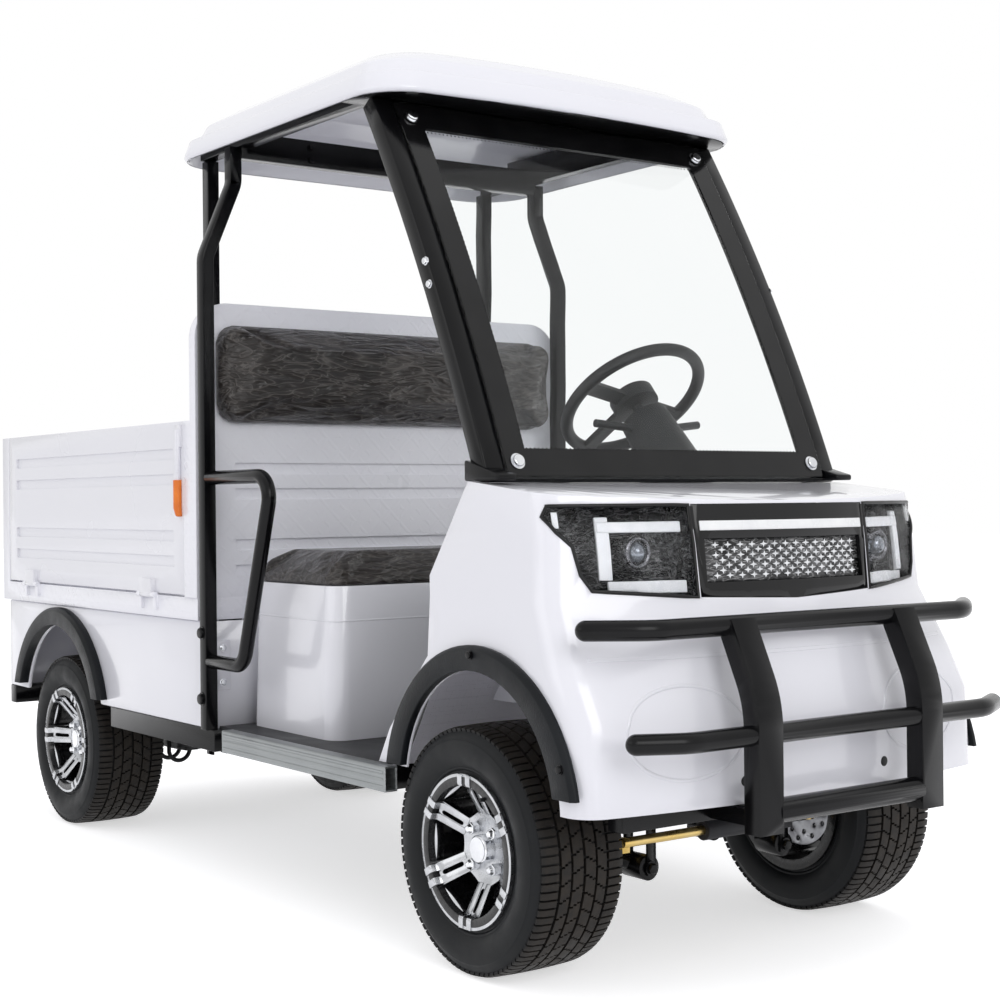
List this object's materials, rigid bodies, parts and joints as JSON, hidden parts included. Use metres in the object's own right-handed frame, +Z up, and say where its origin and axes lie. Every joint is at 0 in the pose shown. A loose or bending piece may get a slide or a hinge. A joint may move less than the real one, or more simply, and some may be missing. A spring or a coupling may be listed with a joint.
{
  "type": "electric utility vehicle",
  "caption": "Small electric utility vehicle with an open bench-seat cab, roof, windscreen, tube bumper and a drop-side cargo bed, on front struts and a leaf-sprung rear axle.",
  "frame": {"origin": "on the ground, under the middle of the vehicle's length and width", "axes": "+X forward, +Y to the vehicle's left, +Z up"},
  "size_m": [2.813, 1.09, 1.832],
  "materials": {
    "white_moulding": "gloss white moulding",
    "white_panel": "gloss white paint on pressed sheet",
    "black_coat": "black powder coat",
    "spring_steel": "dark painted spring steel",
    "cast_housing": "painted casting",
    "zinc_rod": "yellow zinc plating",
    "machined_rim": "machined face with black pockets",
    "tyre_rubber": "matt black rubber",
    "disc_steel": "ground steel",
    "floor_plate": "dark ribbed plate",
    "sill_aluminium": "satin anodised",
    "black_moulding": "grained black moulding",
    "battery_case": "plain case",
    "seat_leather": "dark leather under clear wrapping film",
    "lamp_lens": "clear lens",
    "gloss_black": "gloss black",
    "screen_glass": "clear laminated sheet",
    "red_lens": "red lens"
  },
  "bodies": {
    "chassis": {"front_cowl": "white_moulding", "roof_shell": "white_moulding", "seat_box": "white_moulding", "headboard": "white_panel", "rear_side_panels": "white_panel", "rear_walls": "white_panel", "bed_floor": "white_panel", "chassis_frame": "black_coat", "front_arms": "black_coat", "bumper": "black_coat", "front_pillars": "black_coat", "roof_frame": "black_coat", "rear_posts": "black_coat", "grab_handles": "black_coat", "leaf_springs": "spring_steel", "front_struts": "spring_steel", "rear_axle": "cast_housing", "drive_motor": "cast_housing", "steering_gear": "cast_housing", "floor_pan": "floor_plate", "sills": "sill_aluminium", "wheel_flares": "black_moulding", "dashboard": "black_moulding", "steering_column": "black_moulding", "pedals": "black_moulding", "battery_pack": "battery_case", "seat_cushion": "seat_leather", "back_cushion": "seat_leather", "headlamps": "lamp_lens", "grille_panel": "gloss_black", "grille_insert": "gloss_black", "windscreen": "screen_glass", "tail_lamps": "red_lens"},
    "steering_wheel": {"steering_wheel": "black_moulding"},
    "tie_rod": {"tie_rod": "zinc_rod"},
    "knuckle_right": {"knuckle_right": "cast_housing"},
    "knuckle_left": {"knuckle_left": "cast_housing"},
    "wheel_front_right": {"rim_front_right": "machined_rim", "tyre_front_right": "tyre_rubber", "brake_disc_front_right": "disc_steel"},
    "wheel_front_left": {"rim_front_left": "machined_rim", "tyre_front_left": "tyre_rubber", "brake_disc_front_left": "disc_steel"},
    "wheel_rear_right": {"rim_rear_right": "machined_rim", "tyre_rear_right": "tyre_rubber"},
    "wheel_rear_left": {"rim_rear_left": "machined_rim", "tyre_rear_left": "tyre_rubber"},
    "side_gate_right": {"side_gate_right": "white_panel"},
    "side_gate_left": {"side_gate_left": "white_panel"},
    "tailgate": {"tailgate": "white_panel"}
  },
  "joints": [
    {"name": "knuckle_right_turn", "type": "hinge", "parent": "chassis", "child": "knuckle_right", "pos_m": [0.92, -0.315, 0.23], "axis": [0, 0, 1], "range_deg": [-30, 30]},
    {"name": "knuckle_left_turn", "type": "hinge", "parent": "chassis", "child": "knuckle_left", "pos_m": [0.92, 0.315, 0.23], "axis": [0, 0, 1], "range_deg": [-30, 30]},
    {"name": "steering_turn", "type": "hinge", "parent": "chassis", "child": "steering_wheel", "pos_m": [0.517, 0.25, 1.098], "axis": [-0.6481, 0, 0.7615], "range_deg": [-450, 450]},
    {"name": "tie_rod_slide", "type": "slide", "parent": "chassis", "child": "tie_rod", "axis": [0, 1, 0], "range_m": [-0.0505, 0.0505]},
    {"name": "wheel_front_right_spin", "type": "hinge", "parent": "knuckle_right", "child": "wheel_front_right", "pos_m": [0.92, -0.413, 0.23], "axis": [0, 1, 0], "continuous": true},
    {"name": "wheel_front_left_spin", "type": "hinge", "parent": "knuckle_left", "child": "wheel_front_left", "pos_m": [0.92, 0.413, 0.23], "axis": [0, 1, 0], "continuous": true},
    {"name": "wheel_rear_right_spin", "type": "hinge", "parent": "chassis", "child": "wheel_rear_right", "pos_m": [-0.988, -0.413, 0.23], "axis": [0, 1, 0], "continuous": true},
    {"name": "wheel_rear_left_spin", "type": "hinge", "parent": "chassis", "child": "wheel_rear_left", "pos_m": [-0.988, 0.413, 0.23], "axis": [0, 1, 0], "continuous": true},
    {"name": "side_gate_right_drop", "type": "hinge", "parent": "chassis", "child": "side_gate_right", "pos_m": [-0.765, -0.538, 0.652], "axis": [1, 0, 0], "range_deg": [0, 170]},
    {"name": "side_gate_left_drop", "type": "hinge", "parent": "chassis", "child": "side_gate_left", "pos_m": [-0.765, 0.538, 0.652], "axis": [-1, 0, 0], "range_deg": [0, 170]},
    {"name": "tailgate_drop", "type": "hinge", "parent": "chassis", "child": "tailgate", "pos_m": [-1.398, 0, 0.652], "axis": [0, -1, 0], "range_deg": [0, 170]}
  ],
  "couplings": [
    {"joint": "knuckle_left_turn", "follows": "knuckle_right_turn", "ratio": 1},
    {"joint": "steering_turn", "follows": "knuckle_right_turn", "ratio": 15},
    {"joint": "tie_rod_slide", "follows": "knuckle_right_turn", "m_per_rad": 0.0955}
  ]
}
